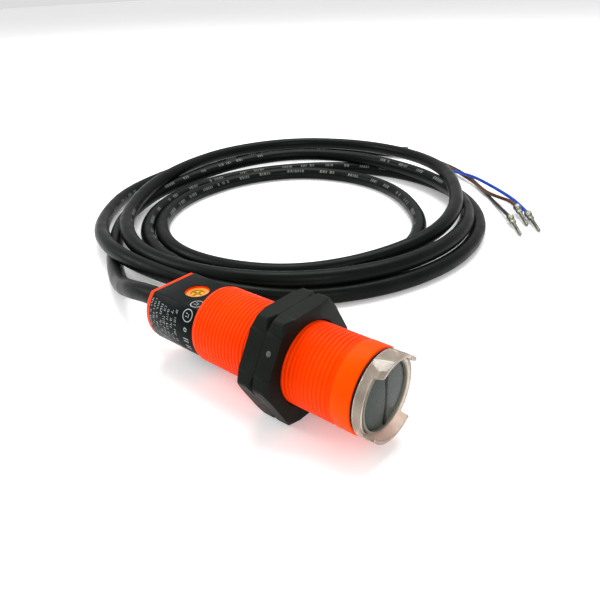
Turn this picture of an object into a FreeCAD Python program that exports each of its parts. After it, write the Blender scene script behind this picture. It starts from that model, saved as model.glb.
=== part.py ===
import FreeCAD, Part
import math
import os

# Cylindrical photoelectric sensor, M18 x 1, lying on its two lock nuts, with a 2 m cable.
# +X runs along the barrel towards the lenses, +Z is up, z = 0 is the surface it lies on.
# The origin is under the middle of the sensor's body.

doc = FreeCAD.newDocument("photoelectric_sensor")
sheet = doc.addObject("Spreadsheet::Sheet", "sizes")

SIZES = [
    # barrel: the thread is a plain cylinder midway between the crests of M18 x 1 and their roots
    ("body_length", 62.5),
    ("collar_diameter", 18.0),
    ("thread_diameter", 17.6),
    ("thread_length", 37.5),
    ("collar_length", 4.25),
    ("rear_length", 16.25),
    ("rear_diameter", 16.9),
    ("flat_height", 6.0),
    ("cavity_diameter", 14.8),
    ("wall", 1.0),
    ("label_film", 0.15),
    ("label_margin", 1.3),
    # lock nuts
    ("nut_across_flats", 24.0),
    ("nut_thickness", 4.0),
    ("nut_bevel", 0.9),
    ("nut_clearance", 0.05),
    ("nut_front", 11.25),
    # front optics
    ("ring_diameter", 17.6),
    ("ring_wall", 0.7),
    ("ring_length", 1.9),
    ("seal_thickness", 0.6),
    ("seal_diameter", 16.9),
    ("skirt_length", 2.0),
    ("skirt_wall", 0.5),
    ("lip_length", 0.4),
    ("tab_length", 2.0),
    ("tab_angle", 96.0),
    ("tab_middle", 80.0),
    ("bezel_diameter", 15.2),
    ("lens_diameter", 14.2),
    ("lens_thickness", 1.6),
    ("bezel_proud", 0.1),
    ("divider_width", 0.7),
    ("holder_diameter", 14.6),
    ("holder_bore", 13.2),
    ("holder_length", 12.4),
    ("holder_back", 1.2),
    ("holder_hole", 3.6),
    ("optic_offset", 3.5),
    ("lamp_diameter", 2.9),
    ("lamp_rim", 3.2),
    ("lamp_length", 3.0),
    ("receiver_side", 2.2),
    ("receiver_depth", 1.6),
    ("receiver_window", 1.6),
    # electronics
    ("board_thickness", 1.0),
    ("board_width", 12.0),
    ("board_length", 37.4),
    ("board_level", -2.5),
    ("front_board_thickness", 0.8),
    ("adjuster_position", -22.0),
    ("recess_diameter", 5.5),
    ("screw_diameter", 3.2),
    ("screw_depth", 0.45),
    ("slot_length", 2.4),
    ("slot_width", 0.5),
    ("slot_depth", 0.6),
    ("guide_diameter", 5.4),
    ("guide_flange", 6.8),
    ("guide_depth", 1.8),
    ("trimmer_side", 4.4),
    ("trimmer_height", 3.0),
    # cable
    ("cable_diameter", 5.0),
    ("wire_diameter", 1.3),
    ("gland_diameter", 6.6),
    ("gland_length", 4.5),
    ("cap_inset", 0.3),
    ("cap_thickness", 2.4),
    ("crimp_wall", 0.6),
    ("crimp_length", 1.8),
    ("conductor_diameter", 0.8),
    ("ferrule_length", 14.0),
    ("ferrule_mouth", 2.8),
    ("ferrule_collar", 2.6),
    # loose coil of the cable, seen from above
    ("coil_x", -67.2),
    ("coil_y", 87.4),
    ("coil_hole", 43.8),
    ("coil_outside", 78.5),
    ("coil_shift_x", -7.4),
    ("coil_shift_y", 4.1),
    ("coil_height", 12.6),
]
for row, (alias, value) in enumerate(SIZES, 1):
    sheet.set(f"A{row}", alias)
    sheet.set(f"B{row}", str(value))
    sheet.setAlias(f"B{row}", alias)
doc.recompute()

ALONG_X = FreeCAD.Rotation(FreeCAD.Vector(0, 1, 0), 90)
UPRIGHT = FreeCAD.Rotation()
AXIS_HEIGHT = "sizes.nut_across_flats / 2"

OVER = 5.0    # how far a cutting tool runs past what it cuts
GAP = 0.1     # between pieces that sit close
FILM = 0.02   # between pieces that touch

# Stations along the barrel, as expressions of the sheet.
REAR_END = "-sizes.body_length / 2"
THREAD_START = f"({REAR_END} + sizes.rear_length)"
THREAD_END = f"({THREAD_START} + sizes.thread_length)"
COLLAR_END = f"({THREAD_END} + sizes.collar_length)"
RING_START = f"({COLLAR_END} + sizes.seal_thickness)"
RING_END = f"({RING_START} + sizes.ring_length)"
HOLDER_END = f"({RING_START} + {GAP})"
HOLDER_START = f"({HOLDER_END} - sizes.holder_length)"
BOARD_TOP = f"({AXIS_HEIGHT} + sizes.board_level + sizes.board_thickness)"
BOARD_START = f"({REAR_END} + 6.25)"
FLAT_LEVEL = f"({AXIS_HEIGHT} + sizes.flat_height)"

pieces = {}
counter = [0]


def size(alias):
    """The number that the sheet holds for an alias."""
    return float(getattr(sheet, alias))


def bind(item, **expressions):
    for prop, expression in expressions.items():
        item.setExpression(prop.replace("__", "."), str(expression))
    return item


def add(kind):
    counter[0] += 1
    return doc.addObject(kind, f"step_{counter[0]}")


def rod(radius, length, x=0, y=0, z=AXIS_HEIGHT, turn=ALONG_X, angle=None):
    """A cylinder along +X from x, or along +Z from z when it is upright."""
    item = add("Part::Cylinder")
    item.Placement = FreeCAD.Placement(FreeCAD.Vector(), turn)
    bind(item, Radius=radius, Height=length)
    bind(item, Placement__Base__x=x, Placement__Base__y=y, Placement__Base__z=z)
    if angle is not None:
        bind(item, Angle=angle)
    return item


def cone(rear_radius, front_radius, length, x=0):
    """A truncated cone along +X on the barrel's axis."""
    item = add("Part::Cone")
    item.Placement = FreeCAD.Placement(FreeCAD.Vector(), ALONG_X)
    bind(item, Radius1=rear_radius, Radius2=front_radius, Height=length)
    return bind(item, Placement__Base__x=x, Placement__Base__z=AXIS_HEIGHT)


def block(x, y, z, length, width, height):
    item = add("Part::Box")
    bind(item, Length=length, Width=width, Height=height)
    return bind(item, Placement__Base__x=x, Placement__Base__y=y, Placement__Base__z=z)


def cut(base, *tools):
    for tool in tools:
        item = add("Part::Cut")
        item.Base, item.Tool = base, tool
        base = item
    return base


def fuse(*shapes):
    item = add("Part::MultiFuse")
    item.Shapes = list(shapes)
    return item


def common(*shapes):
    item = add("Part::MultiCommon")
    item.Shapes = list(shapes)
    return item


def tube(outer, inner, length, start):
    """A tube along +X on the barrel's axis."""
    return cut(rod(outer, length, start), rod(inner, f"{length} + 2", f"{start} - 1"))


def node(name, item):
    """Name a finished sub-part."""
    item.Label = name
    pieces[name] = item
    return item


# ---------------------------------------------------------------- housing

def below_flat(level, start, length):
    """Everything under the level of the flat, for a D-shaped section."""
    reach = "sizes.collar_diameter"
    return block(start, f"-{reach}", f"{AXIS_HEIGHT} - {reach}", length, f"2 * {reach}",
                 f"{level} - {AXIS_HEIGHT} + {reach}")


def d_rod(diameter, start, length, level):
    """A rod with a flat along its top."""
    return common(rod(f"{diameter} / 2", length, start), below_flat(level, start, length))


def recess(radius, bottom, top):
    """An upright cylinder on the adjuster's axis."""
    return rod(radius, f"{top} - {bottom}", "sizes.adjuster_position", "0", bottom, UPRIGHT)


def build_housing():
    rear = d_rod("sizes.rear_diameter", REAR_END, f"sizes.rear_length + {OVER}", FLAT_LEVEL)
    thread = rod("sizes.thread_diameter / 2", "sizes.thread_length + 0.5 * sizes.collar_length", THREAD_START)
    collar = rod("sizes.collar_diameter / 2", "sizes.collar_length", THREAD_END)
    rear_cavity = d_rod("sizes.cavity_diameter", f"{REAR_END} - {OVER}", f"sizes.rear_length + 2 * {OVER}",
                        f"{FLAT_LEVEL} - sizes.wall")
    cavity = rod("sizes.cavity_diameter / 2", f"sizes.thread_length + sizes.collar_length + {OVER}",
                 f"{THREAD_START} + sizes.wall")
    mouth = rod("sizes.ring_diameter / 2 - sizes.ring_wall", f"sizes.skirt_length + {OVER}",
                f"{COLLAR_END} - sizes.skirt_length")
    window = recess("sizes.recess_diameter / 2", AXIS_HEIGHT, f"{FLAT_LEVEL} + {OVER}")
    return cut(fuse(rear, thread, collar), rear_cavity, cavity, mouth, window)


def build_label():
    """A film round the rear section, between the rim and the thread."""
    start = f"({REAR_END} + sizes.label_margin)"
    length = "(sizes.rear_length - sizes.label_margin)"
    outside = d_rod("(sizes.rear_diameter + 2 * sizes.label_film)", start, length,
                    f"{FLAT_LEVEL} + sizes.label_film")
    inside = d_rod("sizes.rear_diameter", f"{start} - {OVER}", f"{length} + 2 * {OVER}", FLAT_LEVEL)
    window = recess("sizes.recess_diameter / 2", AXIS_HEIGHT, f"{FLAT_LEVEL} + {OVER}")
    return cut(outside, inside, window)


def build_rear_cap():
    plug = d_rod(f"(sizes.cavity_diameter - {GAP})", f"({REAR_END} + sizes.cap_inset)", "sizes.cap_thickness",
                 f"{FLAT_LEVEL} - sizes.wall - {GAP} / 2")
    hole = rod("sizes.gland_diameter / 2", f"sizes.cap_thickness + {OVER}", f"{REAR_END} - 1")
    return cut(plug, hole)


def build_gland():
    """A rubber sleeve held in the cap, tapering along the cable behind it."""
    start = f"({REAR_END} - 0.2)"
    sleeve = rod(f"sizes.gland_diameter / 2 - {GAP} / 2", "sizes.cap_thickness + 0.8", start)
    taper = cone("sizes.cable_diameter / 2 + 0.45", "sizes.gland_diameter / 2 + 0.3", "sizes.gland_length",
                 f"({start} - sizes.gland_length)")
    bore = rod("sizes.cable_diameter / 2", f"sizes.gland_length + sizes.cap_thickness + 2 * {OVER}",
               f"{start} - sizes.gland_length - {OVER}")
    return cut(fuse(sleeve, taper), bore)


def build_crimp_ring():
    start = f"({REAR_END} + sizes.cap_inset + sizes.cap_thickness + 0.6)"
    bore = "sizes.cable_diameter / 2"
    return tube(f"{bore} + sizes.crimp_wall", bore, "sizes.crimp_length", start)


node("housing", build_housing())
node("label", build_label())
node("rear_cap", build_rear_cap())
node("cable_gland", build_gland())
node("crimp_ring", build_crimp_ring())


# ------------------------------------------------------------ front optics

def build_front_ring():
    """A clear ring with a skirt in the collar and two opposite tabs."""
    outer = "sizes.ring_diameter / 2"
    inner = "(sizes.ring_diameter / 2 - sizes.ring_wall)"
    overlap = "sizes.lip_length"
    ring = tube(outer, inner, "sizes.ring_length", RING_START)
    skirt = tube(f"{inner} - {FILM}", f"{inner} - sizes.skirt_wall",
                 f"sizes.skirt_length + sizes.seal_thickness + {overlap}",
                 f"({COLLAR_END} - sizes.skirt_length + {GAP})")
    lip = tube(f"{inner} + {GAP}", f"{inner} - sizes.skirt_wall", overlap, RING_START)
    tabs = []
    reach = f"sizes.tab_length + {overlap}"
    for opposite in (0, 180):
        tab = rod(outer, reach, f"{RING_END} - {overlap}", angle="sizes.tab_angle")
        first_edge = size("tab_middle") + opposite - size("tab_angle") / 2
        turn = FreeCAD.Rotation(FreeCAD.Vector(1, 0, 0), first_edge + 90)
        tab.Placement = FreeCAD.Placement(FreeCAD.Vector(), turn.multiply(ALONG_X))
        bind(tab, Placement__Base__x=f"{RING_END} - {overlap}", Placement__Base__z=AXIS_HEIGHT)
        tabs.append(cut(tab, rod(inner, f"{reach} + 2", f"{RING_END} - {overlap} - 1")))
    return fuse(ring, skirt, lip, *tabs)


def half(x, length, side):
    """One side of the vertical divider: side 1 is +Y, side -1 is -Y."""
    reach = "sizes.collar_diameter"
    gap = "sizes.divider_width / 2"
    start = gap if side > 0 else f"-{gap} - {reach}"
    return block(x, start, f"{AXIS_HEIGHT} - {reach}", length, reach, f"2 * {reach}")


def build_lens(side):
    disc = rod("sizes.lens_diameter / 2", "sizes.lens_thickness", HOLDER_END)
    return common(disc, half(HOLDER_END, "sizes.lens_thickness", side))


def build_holder():
    """A black tube in two channels, closed at the back but for a hole to each channel."""
    shell = tube("sizes.holder_diameter / 2", "sizes.holder_bore / 2", "sizes.holder_length", HOLDER_START)
    wall = block(HOLDER_START, "-sizes.divider_width / 2", f"{AXIS_HEIGHT} - sizes.holder_bore / 2 - {GAP}",
                 "sizes.holder_length + sizes.lens_thickness", "sizes.divider_width",
                 f"sizes.holder_bore + 2 * {GAP}")
    back = rod("sizes.holder_diameter / 2", "sizes.holder_back", HOLDER_START)
    holes = [rod("sizes.holder_hole / 2", "sizes.holder_back + 2", f"{HOLDER_START} - 1",
                 f"{side} * sizes.optic_offset") for side in (1, -1)]
    return cut(fuse(shell, wall, back), *holes)


OPTICS_BACK = f"({HOLDER_START} - 0.4)"


def build_emitter():
    """A domed 3 mm lamp."""
    offset = "-sizes.optic_offset"
    base = rod("sizes.lamp_rim / 2", "sizes.lamp_length / 3", OPTICS_BACK, offset)
    stem = rod("sizes.lamp_diameter / 2", "sizes.lamp_length", OPTICS_BACK, offset)
    dome = add("Part::Sphere")
    bind(dome, Radius="sizes.lamp_diameter / 2", Placement__Base__x=f"{OPTICS_BACK} + sizes.lamp_length",
         Placement__Base__y=offset, Placement__Base__z=AXIS_HEIGHT)
    return fuse(base, stem, dome)


def build_receiver():
    """A square chip with a round window."""
    side = "sizes.receiver_side"
    chip = block(OPTICS_BACK, f"sizes.optic_offset - {side} / 2", f"{AXIS_HEIGHT} - {side} / 2",
                 "sizes.receiver_depth", side, side)
    window = rod("sizes.receiver_window / 2", "sizes.receiver_depth + 0.3", OPTICS_BACK, "sizes.optic_offset")
    return fuse(chip, window)


node("front_seal", tube("sizes.seal_diameter / 2", "sizes.ring_diameter / 2 - sizes.ring_wall",
                        f"sizes.seal_thickness - {FILM}", f"({COLLAR_END} + {FILM} / 2)"))
node("front_ring", build_front_ring())
node("lens_bezel", tube("sizes.bezel_diameter / 2", "sizes.lens_diameter / 2",
                        "sizes.lens_thickness + sizes.bezel_proud", HOLDER_END))
node("emitter_lens", build_lens(-1))
node("receiver_lens", build_lens(1))
node("optics_holder", build_holder())
node("emitter_lamp", build_emitter())
node("receiver_diode", build_receiver())


# -------------------------------------------------------------- electronics

# Components that stand on the main board: x, y, length, width and height of each.
COMPONENTS = {
    "amplifier_chip": [(-8.0, -3.0, 7.0, 6.0, 1.6)],
    "output_transistor": [(3.0, -1.6, 3.0, 3.2, 1.5)],
    "capacitors": [(-14.0, -4.5, 2.0, 1.3, 1.2), (-14.0, -1.2, 2.0, 1.3, 1.2), (8.0, 2.0, 2.0, 1.3, 1.2)],
    "indicator_lamp": [(-19.0, -0.6, 1.2, 1.2, 0.7)],
}

node("front_board", rod("sizes.holder_diameter / 2 - 0.4", "sizes.front_board_thickness",
                        f"({HOLDER_START} - sizes.front_board_thickness - 0.4)"))
node("main_board", block(BOARD_START, "-sizes.board_width / 2",
                         f"{AXIS_HEIGHT} + sizes.board_level", "sizes.board_length",
                         "sizes.board_width", "sizes.board_thickness"))
for label, blocks in COMPONENTS.items():
    solids = [block(x, y, BOARD_TOP, length, width, height) for x, y, length, width, height in blocks]
    node(label, fuse(*solids) if len(solids) > 1 else solids[0])

TRIMMER_X = "(sizes.adjuster_position - sizes.trimmer_side / 2)"
TRIMMER_TOP = f"({BOARD_TOP} + sizes.trimmer_height)"
SCREW_TOP = f"({FLAT_LEVEL} - sizes.screw_depth)"
GUIDE_BOTTOM = f"({FLAT_LEVEL} - sizes.guide_depth)"


def build_screw():
    """The adjuster's shaft with a cross slot in its top."""
    shaft = recess("sizes.screw_diameter / 2", f"({TRIMMER_TOP} + {FILM})", SCREW_TOP)
    bottom = f"{SCREW_TOP} - sizes.slot_depth"
    arms = [("sizes.slot_length", "sizes.slot_width"), ("sizes.slot_width", "sizes.slot_length")]
    slots = [block(f"sizes.adjuster_position - {a} / 2", f"-{b} / 2", bottom, a, b, "2") for a, b in arms]
    return cut(shaft, *slots)


def build_light_guide():
    """A clear amber collar round the shaft, with a foot over the indicator lamp."""
    collar = recess("sizes.guide_diameter / 2", GUIDE_BOTTOM, f"({FLAT_LEVEL} - 0.35)")
    flange = recess("sizes.guide_flange / 2", GUIDE_BOTTOM, f"({FLAT_LEVEL} - sizes.wall - {GAP} / 2)")
    foot_bottom = f"({BOARD_TOP} + 0.8)"
    foot = block("sizes.adjuster_position + sizes.guide_diameter / 2", "-0.6", foot_bottom, "0.7", "1.2",
                 f"{GUIDE_BOTTOM} + 0.3 - {foot_bottom}")
    hole = recess(f"sizes.screw_diameter / 2 + {GAP} / 2", AXIS_HEIGHT, f"{FLAT_LEVEL} + 1")
    return cut(fuse(collar, flange, foot), hole)


node("trimmer", block(TRIMMER_X, "-sizes.trimmer_side / 2", BOARD_TOP, "sizes.trimmer_side",
                      "sizes.trimmer_side", "sizes.trimmer_height"))
node("adjuster_screw", build_screw())
node("light_guide", build_light_guide())


# ---------------------------------------------------------------- lock nuts

def build_nut(start):
    """A hexagon nut with flats above and below and bevelled corners."""
    hexagon = add("Part::Prism")
    hexagon.Polygon = 6
    hexagon.Placement = FreeCAD.Placement(
        FreeCAD.Vector(), ALONG_X.multiply(FreeCAD.Rotation(FreeCAD.Vector(0, 0, 1), 30)))
    bind(hexagon, Circumradius="sizes.nut_across_flats / sqrt(3)", Height="sizes.nut_thickness")
    bind(hexagon, Placement__Base__x=start, Placement__Base__z=AXIS_HEIGHT)
    corner = "sizes.nut_across_flats / sqrt(3)"
    straight = "sizes.nut_thickness / 2"
    bevel = fuse(cone(f"{corner} - sizes.nut_bevel", f"{corner} + sizes.nut_bevel", straight, start),
                 cone(f"{corner} + sizes.nut_bevel", f"{corner} - sizes.nut_bevel", straight,
                      f"{start} + {straight}"))
    bore = rod("sizes.thread_diameter / 2 + sizes.nut_clearance", "sizes.nut_thickness + 2", f"{start} - 1")
    return cut(common(hexagon, bevel), bore)


node("front_nut", build_nut("(sizes.nut_front - sizes.nut_thickness)"))
node("rear_nut", build_nut(f"(sizes.nut_front - 2 * sizes.nut_thickness - {FILM})"))


# ------------------------------------------------------- cable and its wires

def solid(name, shape):
    item = doc.addObject("Part::Feature", name)
    item.Shape = shape
    item.Placement = FreeCAD.Placement()
    return node(name, item)


def rounded_path(points):
    """Straight runs joined by tangent arcs as large as their runs allow."""
    corners = [FreeCAD.Vector(*point) for point in points]
    edges = []
    start = corners[0]
    length = 0.0
    radii = []
    for before, corner, after in zip(corners, corners[1:], corners[2:]):
        back, ahead = before - corner, after - corner
        shorter = min(back.Length, ahead.Length)
        back.normalize()
        ahead.normalize()
        half_turn = (math.pi - back.getAngle(ahead)) / 2
        reach = 0.45 * shorter
        radius = reach / math.tan(half_turn)
        radii.append(radius)
        middle = (back + ahead).normalize()
        centre = corner + middle * (radius / math.cos(half_turn))
        entry, leave = corner + back * reach, corner + ahead * reach
        edges.append(Part.LineSegment(start, entry).toShape())
        edges.append(Part.Arc(entry, centre - middle * radius, leave).toShape())
        length += (entry - start).Length + radius * 2 * half_turn
        start = leave
    edges.append(Part.LineSegment(start, corners[-1]).toShape())
    length += (corners[-1] - start).Length
    return edges, length, radii


def flexible(name, points, diameter):
    """A round cord along a route, checked against its section times its length."""
    edges, length, radii = rounded_path(points)
    first = FreeCAD.Vector(*points[0])
    heading = FreeCAD.Vector(*points[1]) - first
    section = Part.Wire([Part.makeCircle(diameter / 2, first, heading)])
    shape = Part.Wire(edges).makePipeShell([section], True, False)
    expected = math.pi * diameter ** 2 / 4 * length
    print(f"{name}: length {length:.1f}, volume {shape.Volume:.1f} of {expected:.1f}, "
          f"radii {', '.join(f'{r:.0f}' for r in radii)}")
    if abs(shape.Volume - expected) > 0.01 * expected:
        raise RuntimeError(f"{name} has the wrong volume")
    solid(name, shape)
    return length


CLEAR = 0.05  # above the surface
REST = size("cable_diameter") / 2 + CLEAR
WIRE_REST = size("wire_diameter") / 2 + CLEAR
AXIS = size("nut_across_flats") / 2

LEAD_ROUTE = [
    (-27.3, 0.0, AXIS), (-40.0, 0.0, AXIS - 0.3), (-52.5, 1.4, 9.0), (-64.5, 6.4, 4.6),
    (-77.5, 13.4, REST), (-90.5, 22.0, REST), (-104.0, 33.0, REST + 0.3),
]
TAIL_ROUTE = [
    (-148.6, 98.0, REST), (-145.6, 118.0, REST), (-136.4, 141.0, REST), (-121.0, 159.0, REST),
    (-102.5, 172.5, REST), (-86.8, 179.9, REST), (-75.0, 182.3, REST + 0.5),
]
WIRE_ROUTES = {
    "brown": [(-74.95, 182.3, 3.85), (-65.0, 181.6, 3.4), (-54.0, 177.5, 2.4), (-40.6, 169.6, 1.4),
              (-26.4, 157.6, 1.7), (-18.3, 148.9, 2.1), (-11.8, 144.6, 2.5), (-5.1, 141.9, 2.8),
              (-0.9, 136.7, 2.9)],
    "blue": [(-74.65, 181.2, 2.65), (-66.5, 180.9, 1.8), (-58.4, 178.3, 1.0), (-48.1, 172.8, WIRE_REST),
             (-38.5, 165.8, 2.6), (-30.3, 161.0, 3.6), (-22.9, 156.4, 3.6), (-13.4, 151.1, 2.8),
             (-3.2, 143.5, 2.3), (4.4, 134.1, 2.2)],
    "black": [(-75.15, 183.4, 2.65), (-65.3, 182.9, 2.0), (-55.1, 181.0, 1.2), (-44.0, 175.5, WIRE_REST),
              (-32.7, 166.3, WIRE_REST), (-22.2, 154.8, WIRE_REST), (-12.0, 142.8, WIRE_REST),
              (0.6, 127.1, 2.2)],
}

flexible("cable_lead", LEAD_ROUTE, size("cable_diameter"))
flexible("cable_tail", TAIL_ROUTE, size("cable_diameter"))


def build_coil():
    """The outer shape of the loose turns: a flat ring, its hole off its middle."""
    outside = rod("sizes.coil_outside", "sizes.coil_height", "sizes.coil_x + sizes.coil_shift_x",
                  "sizes.coil_y + sizes.coil_shift_y", "0", UPRIGHT)
    hole = rod("sizes.coil_hole", "sizes.coil_height + 2", "sizes.coil_x", "sizes.coil_y", "-1", UPRIGHT)
    return cut(outside, hole)


node("cable_coil", build_coil())

for colour, route in WIRE_ROUTES.items():
    flexible(f"{colour}_wire", route, size("wire_diameter"))


def build_ferrule(before, end):
    """A crimped tube with a flared collar over a wire's end, its tip down on the surface."""
    length = size("ferrule_length")
    wire_radius = size("wire_diameter") / 2
    base = FreeCAD.Vector(*end)
    level_run = FreeCAD.Vector(end[0] - before[0], end[1] - before[1], 0).normalize()
    drop = end[2] - wire_radius - CLEAR
    along = (level_run * math.sqrt(length ** 2 - drop ** 2) - FreeCAD.Vector(0, 0, drop)).normalize()
    collar = Part.makeCone(size("ferrule_mouth") / 2, wire_radius + 0.1, size("ferrule_collar"), base, along)
    pin_start = 0.75 * size("ferrule_collar")
    pin = Part.makeCylinder(wire_radius, length - pin_start, base + along * pin_start, along)
    return collar.fuse(pin).removeSplitter()


for colour, route in WIRE_ROUTES.items():
    solid(f"{colour}_ferrule", build_ferrule(*route[-2:]))


def build_core(start, end):
    """A stripped conductor, from the cable's end to the main board."""
    first, last = FreeCAD.Vector(*start), FreeCAD.Vector(*end)
    return Part.makeCylinder(size("conductor_diameter") / 2, (last - first).Length, first, last - first)


CABLE_END = LEAD_ROUTE[0][0] + CLEAR
CORES = [
    [(CABLE_END, 1.3, AXIS), (-22.6, 4.6, AXIS - 0.6)],
    [(CABLE_END, -1.3, AXIS), (-22.6, -4.6, AXIS - 0.6)],
    [(CABLE_END, 0.0, AXIS - 1.0), (-24.6, 0.0, AXIS - 1.0)],
]
solid("core_wires", Part.makeCompound([build_core(start, end) for start, end in CORES]))


# ------------------------------------------------------------ check and write

doc.recompute()
for item in doc.Objects:
    if {"Invalid", "Error"} & set(item.State):
        raise RuntimeError(f"{item.Label} failed: {item.State}")

os.makedirs("parts", exist_ok=True)
for name, item in pieces.items():
    shape = item.Shape
    if shape.isNull() or not shape.isValid() or shape.Volume <= 0:
        raise RuntimeError(f"{name} has no valid solid")
    box = shape.BoundBox
    print(f"{name}: {len(shape.Solids)} solid(s), {shape.Volume:.1f} mm3, x {box.XMin:.2f} {box.XMax:.2f}, "
          f"y {box.YMin:.2f} {box.YMax:.2f}, z {box.ZMin:.2f} {box.ZMax:.2f}")
    shape.exportStep(os.path.join("parts", f"{name}.step"))
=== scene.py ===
import bisect
import math
import random

import bmesh
import bpy
from mathutils import Matrix, Vector


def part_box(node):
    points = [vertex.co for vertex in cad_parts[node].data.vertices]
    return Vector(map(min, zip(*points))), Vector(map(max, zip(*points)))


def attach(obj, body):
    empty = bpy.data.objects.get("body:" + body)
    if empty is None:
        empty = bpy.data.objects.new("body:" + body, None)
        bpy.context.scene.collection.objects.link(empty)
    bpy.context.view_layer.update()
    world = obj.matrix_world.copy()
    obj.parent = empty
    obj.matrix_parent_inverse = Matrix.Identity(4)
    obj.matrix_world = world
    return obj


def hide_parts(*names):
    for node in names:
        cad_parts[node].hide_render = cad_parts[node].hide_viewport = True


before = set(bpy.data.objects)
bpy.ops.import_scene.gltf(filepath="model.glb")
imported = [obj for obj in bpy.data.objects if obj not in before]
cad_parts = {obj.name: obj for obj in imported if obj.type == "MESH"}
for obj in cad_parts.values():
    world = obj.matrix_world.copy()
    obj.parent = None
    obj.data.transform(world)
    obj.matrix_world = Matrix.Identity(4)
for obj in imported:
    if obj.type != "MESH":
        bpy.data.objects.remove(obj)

MM = 0.001
SENSOR, FRONT_NUT, REAR_NUT, ADJUSTER = "sensor", "front_nut", "rear_nut", "adjuster"
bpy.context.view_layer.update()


# ------------------------------------------------------------------ small tools

def corners(node):
    """A node's lowest and highest corner, in millimetres."""
    low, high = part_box(node)
    return Vector(low) / MM, Vector(high) / MM


def add_mesh(name, points, faces, material, smooth=True):
    """A mesh object from points in millimetres."""
    mesh = bpy.data.meshes.new(name)
    mesh.from_pydata([tuple(Vector(p) * MM) for p in points], [], faces)
    work = bmesh.new()
    work.from_mesh(mesh)
    bmesh.ops.remove_doubles(work, verts=work.verts, dist=1e-7)
    bmesh.ops.recalc_face_normals(work, faces=work.faces)
    work.to_mesh(mesh)
    work.free()
    mesh.materials.append(material)
    mesh.polygons.foreach_set("use_smooth", [smooth] * len(mesh.polygons))
    piece = bpy.data.objects.new(name, mesh)
    bpy.context.scene.collection.objects.link(piece)
    return piece


def sharpen(piece, degrees=35):
    """Keep edges sharper than this angle crisp under smooth shading."""
    work = bmesh.new()
    work.from_mesh(piece.data)
    limit = math.radians(degrees)
    for edge in work.edges:
        edge.smooth = len(edge.link_faces) == 2 and edge.calc_face_angle(0.0) < limit
    work.to_mesh(piece.data)
    work.free()
    return piece


def grid_faces(rows, columns, wrap_rows, wrap_columns):
    """Quads over a grid of points, row by row, closed on itself where asked."""
    faces = []
    for i in range(rows if wrap_rows else rows - 1):
        for j in range(columns if wrap_columns else columns - 1):
            i2, j2 = (i + 1) % rows, (j + 1) % columns
            faces.append((i * columns + j, i * columns + j2, i2 * columns + j2, i2 * columns + j))
    return faces


def on_barrel(x, radius, angle):
    """A point at an angle about the barrel's axis, measured from +Y towards +Z."""
    return Vector((x, radius * math.cos(angle), AXIS_Z + radius * math.sin(angle)))


def lathe(name, profile, material, segments=128):
    """A closed ring about the barrel's axis. profile(angle) gives its (x, radius) loop."""
    points = []
    for k in range(segments):
        angle = math.tau * k / segments
        points += [on_barrel(x, radius, angle) for x, radius in profile(angle)]
    columns = len(points) // segments
    return sharpen(add_mesh(name, points, grid_faces(segments, columns, True, True), material))


def rounded(corners_2d, radius, steps=3):
    """A closed outline with each corner replaced by a small curve."""
    out = []
    count = len(corners_2d)
    for k, corner in enumerate(corners_2d):
        corner = Vector(corner)
        before = Vector(corners_2d[k - 1])
        after = Vector(corners_2d[(k + 1) % count])
        reach = min(radius, 0.45 * (before - corner).length, 0.45 * (after - corner).length)
        start = corner + (before - corner).normalized() * reach
        end = corner + (after - corner).normalized() * reach
        for step in range(steps + 1):
            t = step / steps
            out.append(tuple(start * (1 - t) ** 2 + corner * 2 * t * (1 - t) + end * t ** 2))
    return out


def ease(t):
    """A smooth step from 0 to 1."""
    t = min(max(t, 0.0), 1.0)
    return t * t * (3 - 2 * t)


# -------------------------------------------------------------------- materials

# Where a noise's darkest and lightest tones fall.
NOISE_LOW = 0.3
NOISE_HIGH = 0.7

DRIFT_SCALE = 90          # of a plastic's slow change of colour, per metre
SMUDGE_SCALE = 220        # of its uneven gloss
GRAIN_DEPTH = 0.04 * MM   # of a plastic's grain
RELIEF_DEPTH = 0.1 * MM   # of the marks on clear parts and metal


def new_material(name):
    material = bpy.data.materials.new(name)
    material.use_nodes = True
    nodes, links = material.node_tree.nodes, material.node_tree.links
    return material, nodes, links, nodes["Principled BSDF"]


def noise(nodes, links, scale, detail=4.0):
    """Noise in the object's own space, its scale counted per metre."""
    where = nodes.new("ShaderNodeTexCoord")
    texture = nodes.new("ShaderNodeTexNoise")
    texture.inputs["Scale"].default_value = scale
    texture.inputs["Detail"].default_value = detail
    links.new(where.outputs["Object"], texture.inputs["Vector"])
    return texture.outputs["Fac"]


def ramp(nodes, links, source, dark, light, high=NOISE_HIGH):
    """A colour that goes from dark to light as a 0 to 1 value rises."""
    node = nodes.new("ShaderNodeValToRGB")
    first, last = node.color_ramp.elements
    first.position = NOISE_LOW
    first.color = (*dark, 1)
    last.position = high
    last.color = (*light, 1)
    links.new(source, node.inputs["Fac"])
    return node.outputs["Color"]


def spread(nodes, links, source, low, high):
    """Map a 0 to 1 value on to a range."""
    node = nodes.new("ShaderNodeMapRange")
    node.inputs["From Min"].default_value = NOISE_LOW
    node.inputs["From Max"].default_value = NOISE_HIGH
    node.inputs["To Min"].default_value = low
    node.inputs["To Max"].default_value = high
    links.new(source, node.inputs["Value"])
    return node.outputs["Result"]


def add_bump(nodes, links, shader, source, strength, distance):
    """Small relief from a 0 to 1 value, its distance in metres."""
    bump = nodes.new("ShaderNodeBump")
    bump.inputs["Strength"].default_value = strength
    bump.inputs["Distance"].default_value = distance
    links.new(source, bump.inputs["Height"])
    links.new(bump.outputs["Normal"], shader.inputs["Normal"])


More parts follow.
